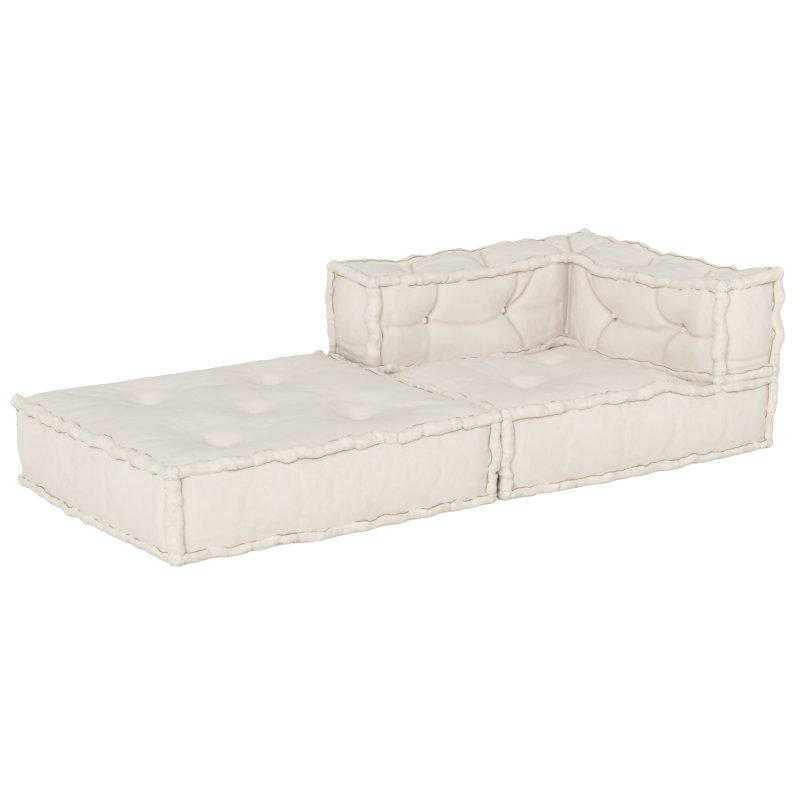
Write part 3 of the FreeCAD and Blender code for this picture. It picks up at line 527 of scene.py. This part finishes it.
# Each run has its start, its end, the side that faces out and how many mm lower its top roll lies
def sewLevel(prefix, level, z, runs, knobs, edge, shape):
    cover, thread = bmesh.new(), bmesh.new()
    for start, end, out, lower in runs:
        seams = [out * turn for turn in seamTurns[level]]
        height = z - (lower * mm if level == "top" else 0.0)
        ends = Vector((*start, height)), Vector((*end, height))
        sewRoll(cover, thread, *ends, Vector((0, 0, 1)), seams, edge)
    for place in knobs:
        sewKnob(cover, Vector((*place, z)), knobLook["corner"])
    finishRolls(prefix, level, cover, thread, shape)


def sewPosts(prefix, posts, low, high, edge, shape):        # each post has its place and two outward signs
    cover, thread = bmesh.new(), bmesh.new()
    for (x, y), sx, sy in posts:
        seams = (math.atan2(postSeamShare * sy, -sx), math.atan2(-sy, postSeamShare * sx))
        sewRoll(cover, thread, Vector((x, y, low)), Vector((x, y, high)), Vector((1, 0, 0)), seams, edge)
    finishRolls(prefix, "corner", cover, thread, shape)


# Seat cushions: free sides bow out a little over the floor and are tucked in at the base.
# Lengths are in mm here and in the dictionaries below, apart from shares and powers.
seatLook = dict(step=10, rim=0.45, baseLift=2, crown=33, shoulder=90, shoulderPower=2.5,
                bulge=17, sideFade=60, endBulge=24, endFade=30, bulgePower=0.8, facingGap=0.5,
                tuftPull=27, tuftRadius=10, dimple=25, dimpleRun=40, topFacing=0.6,
                deepen=1.6, foldTurn=0.35, foldReach=(0.8, 1.2),
                tuck=9, baseBow=18, topBow=8, bowDepth=0.35, calmRun=80,
                wave=3.0, waveRun=230, ripple=1.2, rippleRun=75, rearIn=14)
ottoman = dict(prefix="ottoman", freeSides=("front", "back", "left"),
               tuftShift=((-26, -11), (-22, 23), (-5, -13), (18, -1), (-22, 2)))
cornerSeat = dict(prefix="corner_seat", freeSides=("front", "back", "right"),
                  tuftShift=((-20, 40), (75, 0), (0, 0), (0, 55), (75, 70)))
# folds that run from each tuft: metres from it, then depth in mm at both ends and width in mm
seatFolds = (((0.004, -0.085), 9, 1, 8), ((-0.010, 0.078), 9, 1, 8), ((0.058, -0.026), 6, 1, 7),
             ((-0.055, 0.034), 6, 1, 7))
# where the corner back lies on the corner seat, the seat is pressed flat and its rolls dip
press = dict(ramp=170, wall=125, clear=16, reach=130, bedGap=-4, flatShare=0.9, frontRise=2, frontRun=380,
             armEdge=50, sink=13, sinkRun=70, sinkEnd=160, archRun=95, archShare=1.5)


def frontRise(p):        # the arm's front end stands a little higher on the seat's front roll
    onArm = p.x > innerX - press["armEdge"] * mm
    return press["frontRise"] * mm * smooth(-p.y / (press["frontRun"] * mm)) if onArm else 0.0


def innerSink(p):        # the back's inner line sinks in, less at its ends, and arches at its corner
    inside = max(0.0, min(p.x, backHigh.x) - innerX, p.y - innerY)
    end = press["sinkEnd"] * mm
    ends = smooth((p.x - backLow.x) / end) * smooth((p.y - backLow.y) / end)
    arch = math.exp(-(math.hypot(p.x - innerX, p.y - innerY) / (press["archRun"] * mm)) ** 2)
    deep = press["sink"] * mm * (ends - press["archShare"] * arch)
    return deep * math.exp(-(inside / (press["sinkRun"] * mm)) ** 2)


def pressSeat(p, low):        # lowers a point of the corner seat under the corner back
    wall, ramp, reach, clear = [press[name] * mm for name in ("wall", "ramp", "reach", "clear")]
    armRun = wall + (ramp - wall) * smooth(1 - (p.y - low.y) / reach)
    backRun = wall + (ramp - wall) * smooth(1 - (p.x - low.x) / reach)
    arm = smooth((p.x - (innerX - clear - armRun)) / armRun)
    back = smooth((p.y - (innerY - clear - backRun)) / backRun)
    share = 1 - (1 - arm) * (1 - back)
    bed = backLow.z + frontRise(p) - innerSink(p) - press["bedGap"] * mm
    lowered = p.z * (1 - share * (1 - bed / seatTop))
    if share > press["flatShare"]:
        lowered = min(lowered, bed)
    return Vector((p.x, p.y, lowered))


def bowSeat(p, seat, look):
    low, high = seat["low"], seat["high"]
    tx = (p.x - low.x) / (high.x - low.x)
    ty = (p.y - low.y) / (high.y - low.y)
    tz = max(0.0, min(1.0, p.z / seatTop))
    lean = look["tuck"] * mm * (1 - tz)
    out = (look["baseBow"] + (look["topBow"] - look["baseBow"]) * tz) * mm
    bowX, bowY = 4 * tx * (1 - tx), 4 * ty * (1 - ty)
    sides = (("front", ty, (0, 1), bowX), ("back", 1 - ty, (0, -1), bowX),
             ("left", tx, (1, 0), bowY), ("right", 1 - tx, (-1, 0), bowY))
    moved = p.copy()
    for side, depth, inward, bow in sides:
        share = smooth(1 - depth / look["bowDepth"])
        step = lean - (out * max(0.0, bow) if side in seat["freeSides"] else 0.0)
        moved.x += inward[0] * share * step
        moved.y += inward[1] * share * step
    calm = smooth(abs(p.x) / (look["calmRun"] * mm))        # the two cushions' facing sides stay straight
    wave = noise.noise_vector(p / (look["waveRun"] * mm)) * look["wave"] * mm
    wave += noise.noise_vector(p / (look["rippleRun"] * mm) + Vector((9, 4, 2))) * look["ripple"] * mm
    moved += wave * calm
    moved.z = max(moved.z, 0.0)
    return moved


def shapeSeat(p, seat, look):
    if seat["prefix"] == "corner_seat":
        p = pressSeat(p, seat["low"])
    return bowSeat(p, seat, look)


def seatTufts(seat):
    low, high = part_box(seat["prefix"] + "_tuft_knots")
    middle, reach = (low + high) / 2, (high - low) / 2
    signs = ((-1, -1), (1, -1), (0, 0), (-1, 1), (1, 1))
    places = []
    for (sx, sy), (dx, dy) in zip(signs, seat["tuftShift"]):
        x = middle.x + sx * (reach.x - knotRadius) + dx * mm
        y = middle.y + sy * (reach.y - knotRadius) + dy * mm
        places.append(Vector((x, y)))
    return places


def seatBody(seat, look):
    r = rollRadius
    low = Vector((seat["low"].x + r, seat["low"].y + r, look["baseLift"] * mm))
    high = Vector((seat["high"].x - r, seat["high"].y - r, seatTop - r * look["rim"]))
    bm = bmesh.new()
    bmesh.ops.create_cube(bm, size=1)
    bmesh.ops.scale(bm, vec=high - low, verts=bm.verts)
    bmesh.ops.translate(bm, vec=(low + high) / 2, verts=bm.verts)
    for axis in range(3):
        cutGrid(bm, axis, (low[axis], high[axis]), look["step"] * mm)
    bm.verts.ensure_lookup_table()
    bm.verts.index_update()
    tufts = seatTufts(seat)
    sewn, drawn = [], {}
    crown = look["crown"] * mm - r * (1 - look["rim"])
    for vert in bm.verts:
        p = vert.co.copy()
        gaps = [min(p[i] - low[i], high[i] - p[i]) for i in range(3)]
        onFace = [gap < near for gap in gaps]
        if p.z - low.z < near or sum(onFace) >= 2:
            sewn.append(vert.index)
            continue
        if onFace[2]:
            rise = 1.0
            for gap in gaps[:2]:
                rise *= 1 - max(0.0, 1 - gap / (look["shoulder"] * mm)) ** look["shoulderPower"]
            vert.co.z += crown * rise
            for tuft in tufts:
                away = (p.xy - tuft).length / mm
                vert.co.z -= look["dimple"] * mm * math.exp(-(away / look["dimpleRun"]) ** 2)
                if away < look["tuftRadius"]:
                    drawn[vert.index] = vert.co - Vector((0, 0, look["tuftPull"] * mm))
        else:
            axis = 0 if onFace[0] else 1
            t = gaps[2] / (high.z - low.z)
            full, fade = look["bulge"], look["sideFade"]
            if axis == 0 and seat["prefix"] == "ottoman":
                full, fade = look["endBulge"], look["endFade"]
            swell = full * mm * (4 * t * (1 - t)) ** look["bulgePower"] * smooth(gaps[1 - axis] / (fade * mm))
            vert.co[axis] += swell if p[axis] > (low[axis] + high[axis]) / 2 else -swell
    stuffCover(bm, seat["prefix"], sewn, drawn, fill)
    folds = []
    for tuft in tufts:
        for away, deepA, deepB, width in seatFolds:
            turned = Vector(away)
            turned.rotate(Matrix.Rotation(random.uniform(-look["foldTurn"], look["foldTurn"]), 2))
            end = tuft + turned * random.uniform(*look["foldReach"])
            folds.append(((tuft, tuft + turned * 0.5, end), deepA, deepB, width))
    bm.normal_update()
    carve(bm, folds, lambda v: v.normal.z > look["topFacing"], lambda c: (c.x, c.y), Vector((0, 0, -1)),
          look["deepen"])
    gap = look["facingGap"] * mm
    for vert in bm.verts:        # the facing sides of the two seats stay within their halves
        if "left" not in seat["freeSides"]:
            vert.co.x = max(seat["low"].x + gap, vert.co.x)
        if "right" not in seat["freeSides"]:
            vert.co.x = min(seat["high"].x - gap, vert.co.x)
        vert.co = shapeSeat(vert.co, seat, look)
    piece = newPiece(seat["prefix"] + "_cushion", bm, canvas, seat["prefix"], rounds=1)
    names = ("core", "top_panel", "base_panel", "front_panel", "back_panel", "left_panel", "right_panel",
             "tuft_knots", "tuft_twines")
    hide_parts(*[seat["prefix"] + "_" + name for name in names])


def seatRolls(seat, look, edge):
    r = rollRadius
    x0, x1 = seat["low"].x + r, seat["high"].x - r
    y0, y1 = seat["low"].y + r, seat["high"].y - r
    corners = ((x0, y0), (x1, y0), (x1, y1), (x0, y1))
    runs = (((x0, y0), (x1, y0), 1, 0), ((x0, y1), (x1, y1), -1, 12),
            ((x0, y0), (x0, y1), -1, 2), ((x1, y0), (x1, y1), 1, 3))
    posts = [((x, y), -1 if x == x0 else 1, -1 if y == y0 else 1) for x, y in corners[:3]]
    posts.append(((x0 + look["rearIn"] * mm, y1), -1, 1))

    def shape(p):
        return shapeSeat(p, seat, look)

    sewLevel(seat["prefix"], "base", r, runs, corners, edge, shape)
    sewLevel(seat["prefix"], "top", seatTop - r, runs, corners, edge, shape)
    sewPosts(seat["prefix"], posts, r * postStart, seatTop - r * postStart, postLook, shape)


for seat in (ottoman, cornerSeat):
    seat["low"], seat["high"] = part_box(seat["prefix"] + "_base_rolls")
    seatBody(seat, seatLook)
    seatRolls(seat, seatLook, rollLook)
    print("seat", seat["prefix"])

# Corner back: faces tufted and creased, top edges sagging between the ends
backLook = dict(step=9, rim=0.45, rimRun=30, baseLift=1, crown=25, shoulder=95, shoulderPower=2.2,
                bulge=27, bulgePower=0.7, sideFade=70, tuftPull=22, tuftRadius=10, dimple=15, dimpleRun=46,
                knotSize=0.62, topKnot=0.7, knotOut=-2, knotFacing=0.3, deepen=1.9, facing=0.6, endDepth=100,
                wave=2.5, waveRun=200, ripple=1.0, rippleRun=70, waveFoot=0.15)
# lean of the inner faces: the swollen inner corner, its rounded foot and the low puffs over the seat,
# which are fullest at footAt, x on the long side and y on the arm, in metres
leanLook = dict(across=0.6, swell=18, swellFront=420, swellLeft=200, round=20, roundRun=80,
                foot=32, footRun=170, footHigh=0.6, footAt=(0.47, 0.03), footFrom=20, footEase=90,
                sinkHigh=0.7, highest=1.15)
# rise of the top edges over the straight frame, in mm, by metres along the cushion from its left end
outerRise = ((0, 4), (0.25, -10), (0.65, 3), (0.95, -4), (1.14, -5), (1.265, 17))
innerRise = ((0, -12), (0.35, -22), (0.685, -8), (0.80, -27), (1.03, -24), (1.265, 4))
# where folds from the top tufts draw the outer edge down: x on the long side, y on the arm
outerDips = dict(long=(0.262, 0.500, 0.745), arm=(0.250, 0.055, -0.185), deep=8, run=26, dome=3)
# tufts: places on the long inner face (x, z), the arm's inner face (y, z) and the top (x, y), in metres
backTufts = ((0.209, 0.340), (0.476, 0.335))
armTufts = ((0.014, 0.325), (-0.259, 0.338))
topTufts = ((0.245, 0.325), (0.479, 0.290), (0.772, 0.268), (0.852, 0.053), (0.852, -0.180))
# creases: points on the same faces, then depth in mm at both ends and width in mm
backCreases = (
    ((backTufts[0], (0.228, 0.368), (0.242, 0.410), (0.246, 0.460)), 9, 4, 4.5),
    ((backTufts[0], (0.150, 0.334), (0.060, 0.338)), 5, 2, 6),
    ((backTufts[0], (0.300, 0.322), (0.400, 0.318), backTufts[1]), 5, 4, 7),
    ((backTufts[0], (0.214, 0.290), (0.206, 0.225)), 4, 2, 9),
    ((backTufts[1], (0.500, 0.375), (0.514, 0.415), (0.518, 0.460)), 9, 4, 4.5),
    ((backTufts[1], (0.530, 0.378), (0.570, 0.425), (0.588, 0.455)), 8, 3, 4),
    ((backTufts[1], (0.496, 0.292), (0.518, 0.250), (0.526, 0.205)), 8, 3, 4),
    ((backTufts[1], (0.580, 0.325), (0.690, 0.330)), 4, 2, 12),
)
armCreases = (
    ((armTufts[0], (0.060, 0.360), (0.110, 0.405), (0.140, 0.460)), 9, 4, 4.5),
    (((0.062, 0.362), (0.088, 0.395), (0.100, 0.440)), 5, 3, 3.5),
    ((armTufts[0], (0.040, 0.285), (0.048, 0.240), (0.046, 0.205)), 8, 3, 4),
    ((armTufts[0], (-0.060, 0.318), (-0.160, 0.322), armTufts[1]), 5, 5, 8),
    ((armTufts[1], (-0.205, 0.352), (-0.165, 0.395), (-0.155, 0.455)), 8, 3, 5),
    ((armTufts[1], (-0.215, 0.295), (-0.196, 0.245), (-0.190, 0.205)), 7, 3, 5),
    ((armTufts[1], (-0.310, 0.322), (-0.390, 0.326)), 8, 4, 4),
)
leftEndCreases = (
    (((0.205, 0.284), (0.290, 0.272), (0.380, 0.281)), 3, 1, 6),
    (((0.250, 0.241), (0.330, 0.249), (0.412, 0.246)), 1, 3, 5),
)
armEndCreases = (
    (((0.712, 0.268), (0.800, 0.258), (0.920, 0.262)), 4, 2, 6),
    (((0.715, 0.232), (0.850, 0.240)), 2, 2, 5),
)
topCreases = tuple(
    (points, 8, 4, 4.5) for points in (
        (topTufts[0], (0.243, 0.360), (0.240, 0.410)), (topTufts[0], (0.268, 0.360), (0.290, 0.410)),
        (topTufts[0], (0.250, 0.260), (0.254, 0.200)),
        (topTufts[1], (0.478, 0.350), (0.476, 0.410)), (topTufts[1], (0.505, 0.350), (0.530, 0.410)),
        (topTufts[1], (0.490, 0.240), (0.510, 0.200)),
        (topTufts[2], (0.745, 0.320), (0.740, 0.410)), (topTufts[2], (0.800, 0.330), (0.850, 0.405)),
        (topTufts[2], (0.735, 0.235), (0.705, 0.205)), (topTufts[2], (0.830, 0.280), (0.915, 0.260)),
        (topTufts[3], (0.885, 0.070), (0.920, 0.080)), (topTufts[3], (0.890, 0.035), (0.920, 0.030)),
        (topTufts[3], (0.800, 0.070), (0.710, 0.110)),
        (topTufts[4], (0.885, -0.165), (0.920, -0.160)), (topTufts[4], (0.885, -0.200), (0.920, -0.215)),
        (topTufts[4], (0.790, -0.170), (0.710, -0.155)),
    ))


def alongBack(p):        # how far along the L a point is, and how far from its inner to its outer line
    thick = backHigh.x - innerX
    reach = min(p.x, innerX) - backLow.x + max(0.0, innerY - p.y)
    across = max((p.x - innerX) / thick, (p.y - innerY) / thick)
    return reach, max(0.0, min(1.0, across))


def shapeBack(p, look, lean):
    reach, across = alongBack(p)
    tz = max(0.0, min(lean["highest"], (p.z - backLow.z) / (backHigh.z - backLow.z)))
    inner, outer = between(innerRise, reach), between(outerRise, reach)
    moved = p.copy()
    sink = (innerSink(p) - frontRise(p)) * (1 - smooth(tz / lean["sinkHigh"]))
    moved.z += (inner + (outer - inner) * smooth(across)) * mm * tz - sink
    left, front = innerX - p.x, innerY - p.y        # how far the point lies from the inner corner
    byInner = 1 - smooth(across / lean["across"])
    swell = lean["swell"] * mm * byInner * smooth(1 - max(0.0, front) / (lean["swellFront"] * mm))
    moved.x -= swell * smooth(1 - max(0.0, left) / (lean["swellLeft"] * mm))
    along, dips = (p.x, outerDips["long"]) if p.y - innerY > p.x - innerX else (p.y, outerDips["arm"])
    draw = max(math.exp(-((along - dip) / (outerDips["run"] * mm)) ** 2) for dip in dips)
    sag = (outerDips["deep"] * draw - outerDips["dome"]) * mm
    moved.z -= sag * smooth(across * 2 - 1) * smooth(tz * 2 - 1)
    low = 1 - smooth(tz / lean["footHigh"])
    byCorner = math.exp(-((left * left + front * front) / (lean["roundRun"] * mm) ** 2))
    rounding = lean["round"] * mm * byCorner * low
    moved.x -= rounding
    moved.y -= rounding
    overhang = lean["foot"] * mm * byInner * low        # the low puffs lean out over the seat
    overhang *= smooth((max(left, front) - lean["footFrom"] * mm) / (lean["footEase"] * mm))
    if left > front:
        moved.y -= overhang * math.exp(-((p.x - lean["footAt"][0]) / (lean["footRun"] * mm)) ** 2)
    else:
        moved.x -= overhang * math.exp(-((p.y - lean["footAt"][1]) / (lean["footRun"] * mm)) ** 2)
    wave = noise.noise_vector(p / (look["waveRun"] * mm) + Vector((3, 8, 5))) * look["wave"] * mm
    wave += noise.noise_vector(p / (look["rippleRun"] * mm) + Vector((2, 6, 1))) * look["ripple"] * mm
    moved += wave * smooth(tz / look["waveFoot"])
    return moved


def carveBack(bm, xs, ys, look):        # xs and ys: the left end or front end, then the inner face
    half, end = look["facing"], look["endDepth"] * mm
    (x0, xi), (y0, yi) = xs, ys
    faces = (
        (backCreases, 1, 1, lambda v: v.normal.y < -half and v.co.x < xi and v.co.y > y0 + end),
        (armCreases, 0, 1, lambda v: v.normal.x < -half and v.co.y < yi and v.co.x > x0 + end),
        (backCreases, 1, -1, lambda v: v.normal.y > half),
        (armCreases, 0, -1, lambda v: v.normal.x > half),
        (leftEndCreases, 0, 1, lambda v: v.normal.x < -half and v.co.x < x0 + end),
        (armEndCreases, 1, 1, lambda v: v.normal.y < -half and v.co.y < y0 + end),
        (topCreases, 2, -1, lambda v: v.normal.z > half),
    )
    for creases, axis, side, pick in faces:
        inward = Vector((0, 0, 0))
        inward[axis] = side
        a, b = [i for i in range(3) if i != axis]
        carve(bm, creases, pick, lambda c: (c[a], c[b]), inward, look["deepen"])


def backBody(look):
    r = rollRadius
    x0, xi, x1 = backLow.x + r, innerX + r, backHigh.x - r
    y0, yi, y1 = backLow.y + r, innerY + r, backHigh.y - r
    z0, z1 = backLow.z + look["baseLift"] * mm, backHigh.z - r * look["rim"]
    bm = bmesh.new()
    places = [(x, y) for x in (x0, xi, x1) for y in (y0, yi, y1) if (x, y) != (x0, y0)]
    corners = {(x, y): bm.verts.new((x, y, z0)) for x, y in places}
    for square in (((x0, yi), (x0, y1), (xi, y1), (xi, yi)), ((xi, yi), (xi, y1), (x1, y1), (x1, yi)),
                   ((xi, y0), (xi, yi), (x1, yi), (x1, y0))):
        bm.faces.new([corners[place] for place in square])
    raised = bmesh.ops.extrude_face_region(bm, geom=list(bm.faces), use_keep_orig=True)
    upper = [item for item in raised["geom"] if isinstance(item, bmesh.types.BMVert)]
    bmesh.ops.translate(bm, vec=(0, 0, z1 - z0), verts=upper)
    bmesh.ops.recalc_face_normals(bm, faces=bm.faces)
    bm = inOrder(bm)
    for axis, stops in enumerate(((x0, xi, x1), (y0, yi, y1), (z0, z1))):
        cutGrid(bm, axis, stops, look["step"] * mm)
    bm.verts.ensure_lookup_table()
    bm.verts.index_update()
    walls = (        # axis, plane, outward side, the two ends along it, tufts on it
        (1, yi, -1, (x0, xi), backTufts), (0, xi, -1, (y0, yi), armTufts), (1, y1, 1, (x0, x1), backTufts),
        (0, x1, 1, (y0, y1), armTufts), (0, x0, -1, (yi, y1), ()), (1, y0, -1, (xi, x1), ()))
    rim = r * (1 - look["rim"])
    sewn, drawn = [], {}
    for vert in bm.verts:
        p = vert.co.copy()
        on = [wall for wall in walls if abs(p[wall[0]] - wall[1]) < near
              and not (wall[0] == 1 and wall[1] == yi and p.x > xi + near)
              and not (wall[0] == 0 and wall[1] == xi and p.y > yi + near)]
        top, base = z1 - p.z < near, p.z - z0 < near
        if base or len(on) + top >= 2:
            sewn.append(vert.index)
        elif top:
            inner = p.y - yi if p.x <= xi else p.x - xi if p.y <= yi else math.hypot(p.x - xi, p.y - yi)
            gap = min(inner, x1 - p.x, y1 - p.y, p.x - x0, p.y - y0)
            crown = 1 - max(0.0, 1 - gap / (look["shoulder"] * mm)) ** look["shoulderPower"]
            vert.co.z += look["crown"] * mm * crown - rim
            vert.co.z += rim * (1 - smooth(gap / (look["rimRun"] * mm)))
            for tuft in topTufts:
                away = math.hypot(p.x - tuft[0], p.y - tuft[1]) / mm
                vert.co.z -= look["dimple"] * mm * math.exp(-(away / look["dimpleRun"]) ** 2)
                if away < look["tuftRadius"]:
                    drawn[vert.index] = vert.co - Vector((0, 0, look["tuftPull"] * mm))
        elif on:
            axis, plane, side, ends, tufts = on[0]
            t = (p.z - z0) / (z1 - z0)
            other = p[1 - axis]
            gap = min(other - ends[0], ends[1] - other)
            swell = look["bulge"] * mm * (4 * t * (1 - t)) ** look["bulgePower"]
            swell *= smooth(gap / (look["sideFade"] * mm))
            inTuft = False
            for tuft in tufts:
                away = math.hypot(other - tuft[0], p.z - tuft[1]) / mm
                swell -= look["dimple"] * mm * math.exp(-(away / look["dimpleRun"]) ** 2)
                inTuft = inTuft or away < look["tuftRadius"]
            vert.co[axis] += side * swell
            if inTuft:
                place = vert.co.copy()
                place[axis] -= side * look["tuftPull"] * mm
                drawn[vert.index] = place
    stuffCover(bm, "corner_back", sewn, drawn, fill)
    bmesh.ops.subdivide_edges(bm, edges=bm.edges, cuts=1, use_grid_fill=True, smooth=1.0)
    bm.normal_update()
    carveBack(bm, (x0, xi), (y0, yi), look)
    knots = bmesh.new()
    top = (2, z1, 1, (), topTufts)
    for axis, plane, side, ends, tufts in walls[:4] + (top,):        # a knot of gathered canvas in each tuft
        facing = [v for v in bm.verts if v.normal[axis] * side > look["knotFacing"]]
        for a, b in tufts:
            place = Vector(((plane, a, b), (a, plane, b), (a, b, plane))[axis])
            place = min(facing, key=lambda v: (v.co - place).length).co.copy()
            place[axis] += side * look["knotOut"] * mm
            sewKnob(knots, place, look["knotSize"] * (look["topKnot"] if axis == 2 else 1.0))
    for vert in list(bm.verts) + list(knots.verts):
        vert.co = shapeBack(vert.co, look, leanLook)
    tied = newPiece("corner_back_knots", knots, edgeCanvas, "corner_back")
    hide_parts("corner_back_tuft_knots")
    piece = newPiece("corner_back_cushion", bm, canvas, "corner_back", rounds=1)
    names = ("back_core", "arm_core", "back_top_panel", "arm_top_panel", "back_base_panel", "arm_base_panel",
             "back_inner_face", "arm_inner_face", "back_outer_face", "arm_outer_face", "left_end_panel",
             "arm_end_panel", "tuft_twines")
    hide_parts(*["corner_back_" + name for name in names])


def backRolls(look, edge):
    r = rollRadius
    x0, xi, x1 = backLow.x + r, innerX + r, backHigh.x - r
    y0, yi, y1 = backLow.y + r, innerY + r, backHigh.y - r
    posts = (((x0, yi), -1, -1), ((x0, y1), -1, 1), ((x1, y1), 1, 1), ((x1, y0), 1, -1), ((xi, y0), -1, -1))
    corners = [place for place, sx, sy in posts]
    runs = (((x0, y1), (x1, y1), -1, 3), ((x0, yi), (xi, yi), 1, 0), ((xi, y0), (x1, y0), 1, 0),
            ((x0, yi), (x0, y1), -1, 0), ((xi, y0), (xi, yi), -1, 0), ((x1, y0), (x1, y1), 1, 3))

    def shape(p):
        return shapeBack(p, look, leanLook)

    sewLevel("corner_back", "base", backLow.z + r, runs, corners, edge, shape)
    sewLevel("corner_back", "top", backHigh.z - r, runs, corners, edge, shape)
    sewPosts("corner_back", posts, backLow.z + r * postStart, backHigh.z - r * postStart, postLook, shape)


backBody(backLook)
backRolls(backLook, rollLook)
print("corner back")
